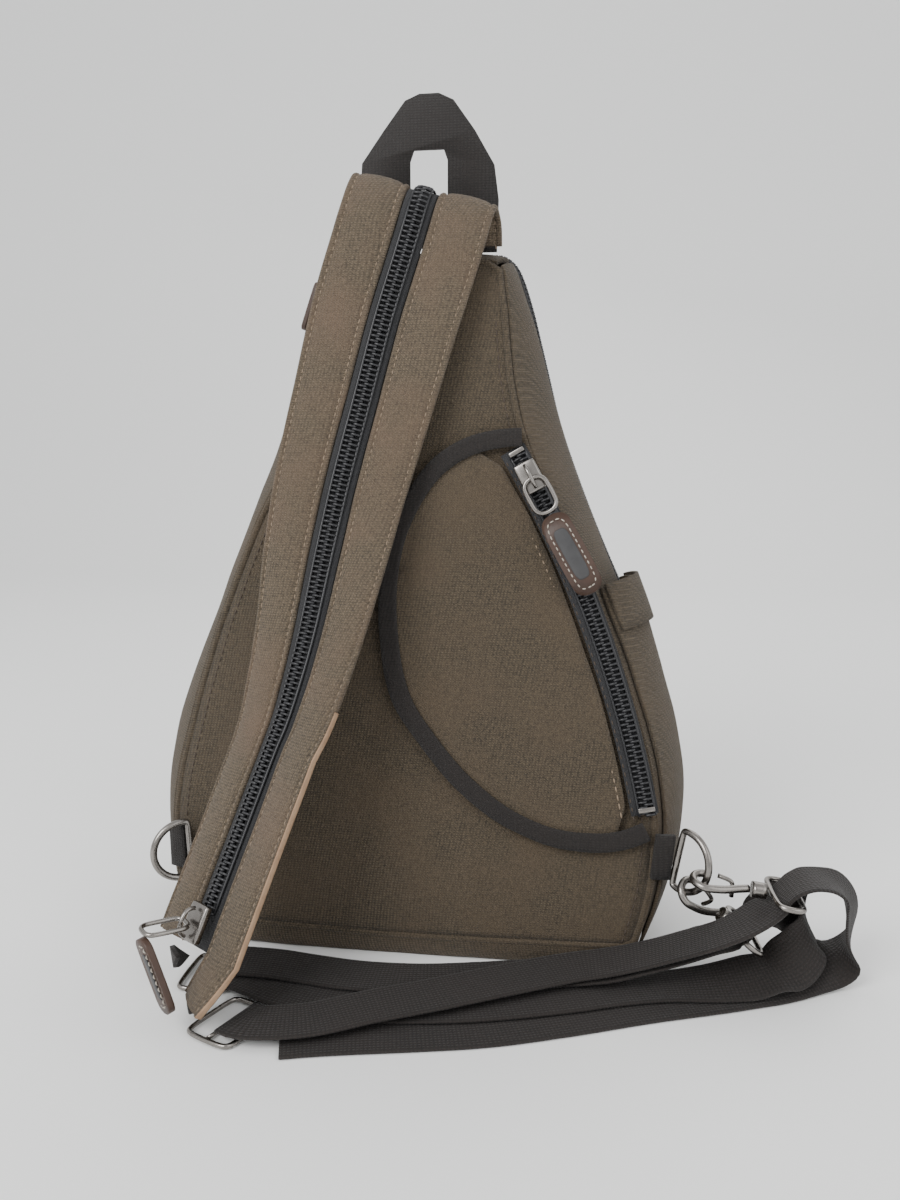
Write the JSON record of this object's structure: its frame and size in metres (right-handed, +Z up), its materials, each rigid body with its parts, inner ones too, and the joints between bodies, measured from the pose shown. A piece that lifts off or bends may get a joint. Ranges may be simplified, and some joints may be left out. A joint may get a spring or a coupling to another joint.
{
  "type": "sling_bag",
  "caption": "Canvas sling bag: teardrop body, zipped pocket, split padded strap with its own zip, webbing straps, snap hooks and D-rings.",
  "frame": {"origin": "centre of the bag's outline on the floor", "axes": "+X to the right and +Y away as the strap side is looked at, +Z up from the floor"},
  "size_m": [0.3553, 0.2177, 0.4254],
  "materials": {
    "canvas": "woven canvas, matt",
    "canvas_light": "woven canvas, matt",
    "webbing": "tight woven webbing",
    "zip_black": "nylon coil and woven tape",
    "leather": "smooth, raw edge",
    "nickel": "antique nickel, polished",
    "lining": "plain lining cloth",
    "foam": "closed-cell foam",
    "board": "stiff board"
  },
  "bodies": {
    "bag": {"back_foam_pad": "foam", "back_lining": "lining", "back_panel": "canvas", "back_pocket_binding": "webbing", "back_pocket_panel": "canvas", "base_board": "board", "base_panel": "canvas", "buckle_1_bar": "nickel", "buckle_1_frame": "nickel", "buckle_2_bar": "nickel", "buckle_2_frame": "nickel", "front_gusset": "canvas", "front_panel": "canvas", "gusset_left": "canvas", "gusset_right": "canvas", "inner_slip_pocket": "lining", "main_zip_coil": "zip_black", "main_zip_end_left": "canvas", "main_zip_end_right": "canvas", "main_zip_tape": "zip_black", "pocket_zip_bottom_stop": "nickel", "pocket_zip_coil": "zip_black", "pocket_zip_tape": "zip_black", "pocket_zip_top_stop": "nickel", "ring_tab_left": "webbing", "ring_tab_right": "webbing", "side_pocket": "canvas", "side_pocket_hem": "canvas_light", "strap_end_tab_left": "webbing", "strap_end_tab_right": "webbing", "strap_half_left": "canvas_light", "strap_half_right": "canvas_light", "strap_zip_coil": "zip_black", "strap_zip_tape_left": "zip_black", "strap_zip_tape_right": "zip_black", "top_strip": "canvas", "webbing_inner": "webbing", "webbing_outer": "webbing"},
    "pocket_slider": {"pocket_slider": "nickel", "pocket_slider_bridge": "nickel"},
    "pocket_link": {"pocket_pull_link": "nickel"},
    "pocket_tab": {"pocket_pull_tab": "leather"},
    "strap_slider": {"strap_slider": "nickel", "strap_slider_bridge": "nickel"},
    "strap_link": {"strap_pull_link": "nickel"},
    "strap_tab": {"strap_pull_tab": "leather"},
    "main_slider": {"main_slider": "nickel"},
    "main_tab": {"main_pull_tab": "leather"},
    "handle": {"carry_handle": "webbing"},
    "ring_left": {"d_ring_left": "nickel"},
    "ring_right": {"d_ring_right": "nickel"},
    "hook_1": {"hook_1_body": "nickel", "hook_1_barrel": "nickel"},
    "hook_1_gate": {"hook_1_gate": "nickel"},
    "hook_1_eye": {"hook_1_eye": "nickel"},
    "hook_2": {"hook_2_body": "nickel", "hook_2_barrel": "nickel"},
    "hook_2_gate": {"hook_2_gate": "nickel"},
    "hook_2_eye": {"hook_2_eye": "nickel"}
  },
  "joints": [
    {"name": "pocket_slider_run", "type": "hinge", "parent": "bag", "child": "pocket_slider", "pos_m": [-0.417, -0.07276, -0.02926], "axis": [0, 0.9851, -0.172], "range_deg": [0, 13]},
    {"name": "pocket_link_lift", "type": "hinge", "parent": "pocket_slider", "child": "pocket_link", "pos_m": [0.0641, -0.03103, 0.23295], "axis": [-0.8742, -0.0835, -0.4784], "range_deg": [0, 95]},
    {"name": "pocket_tab_swing", "type": "hinge", "parent": "pocket_link", "child": "pocket_tab", "pos_m": [0.07284, -0.03374, 0.21745], "axis": [-0.8742, -0.0835, -0.4784], "range_deg": [0, 80]},
    {"name": "strap_slider_run", "type": "slide", "parent": "bag", "child": "strap_slider", "axis": [0.2693, 0.3931, 0.8792], "range_m": [0, 0.07]},
    {"name": "strap_link_swing", "type": "hinge", "parent": "strap_slider", "child": "strap_link", "pos_m": [-0.07775, -0.12118, 0.04359], "axis": [0.6833, -0.73, 0.0126], "range_deg": [-45, 2]},
    {"name": "strap_tab_swing", "type": "hinge", "parent": "strap_link", "child": "strap_tab", "pos_m": [-0.09262, -0.13508, 0.045], "axis": [0.6833, -0.73, 0.0126], "range_deg": [-40, 2]},
    {"name": "main_slider_run", "type": "slide", "parent": "bag", "child": "main_slider", "axis": [-0.3383, 0.0167, -0.9409], "range_m": [0, 0.055]},
    {"name": "main_tab_lift", "type": "hinge", "parent": "main_slider", "child": "main_tab", "pos_m": [-0.05254, 0.02859, 0.33567], "axis": [0.0057, 0.9999, 0.0157], "range_deg": [0, 60]},
    {"name": "handle_fold", "type": "hinge", "parent": "bag", "child": "handle", "pos_m": [0, 0.022, 0.3469], "axis": [1, 0, 0], "range_deg": [-65, 18]},
    {"name": "ring_left_swing", "type": "hinge", "parent": "bag", "child": "ring_left", "pos_m": [-0.1015, -0.0595, 0.0505], "axis": [-0.0499, 0, 0.9988], "range_deg": [-35, 80]},
    {"name": "ring_right_swing", "type": "hinge", "parent": "bag", "child": "ring_right", "pos_m": [0.1365, -0.051, 0.056], "axis": [0.1749, 0, 0.9846], "range_deg": [0, 14], "deforming": ["webbing_outer", "webbing_inner"]},
    {"name": "hook_1_swing", "type": "hinge", "parent": "ring_right", "child": "hook_1", "pos_m": [0.14826, -0.06382, 0.05091], "axis": [-0.1469, 0.1588, -0.9763], "range_deg": [-10, 10], "deforming": ["webbing_outer"]},
    {"name": "hook_1_gate_press", "type": "hinge", "parent": "hook_1", "child": "hook_1_gate", "pos_m": [0.16125, -0.05989, 0.0496], "axis": [-0.1469, 0.1588, -0.9763], "range_deg": [-20, 0], "stiffness_Nm_per_rad": 0.02},
    {"name": "hook_1_swivel", "type": "hinge", "parent": "hook_1", "child": "hook_1_eye", "pos_m": [0.18357, -0.06226, 0.04585], "axis": [0.9889, 0.0436, -0.1417], "range_deg": [-20, 20], "deforming": ["webbing_outer"]},
    {"name": "hook_2_swing", "type": "hinge", "parent": "ring_right", "child": "hook_2", "pos_m": [0.1423, -0.05926, 0.04274], "axis": [-0.5737, 0.6425, -0.508], "range_deg": [-10, 10], "deforming": ["webbing_inner"]},
    {"name": "hook_2_gate_press", "type": "hinge", "parent": "hook_2", "child": "hook_2_gate", "pos_m": [0.1534, -0.05407, 0.03677], "axis": [-0.5737, 0.6425, -0.508], "range_deg": [-20, 0], "stiffness_Nm_per_rad": 0.02},
    {"name": "hook_2_swivel", "type": "hinge", "parent": "hook_2", "child": "hook_2_eye", "pos_m": [0.1681, -0.05242, 0.02225], "axis": [0.7668, 0.2033, -0.6089], "range_deg": [-20, 20], "deforming": ["webbing_inner"]}
  ]
}
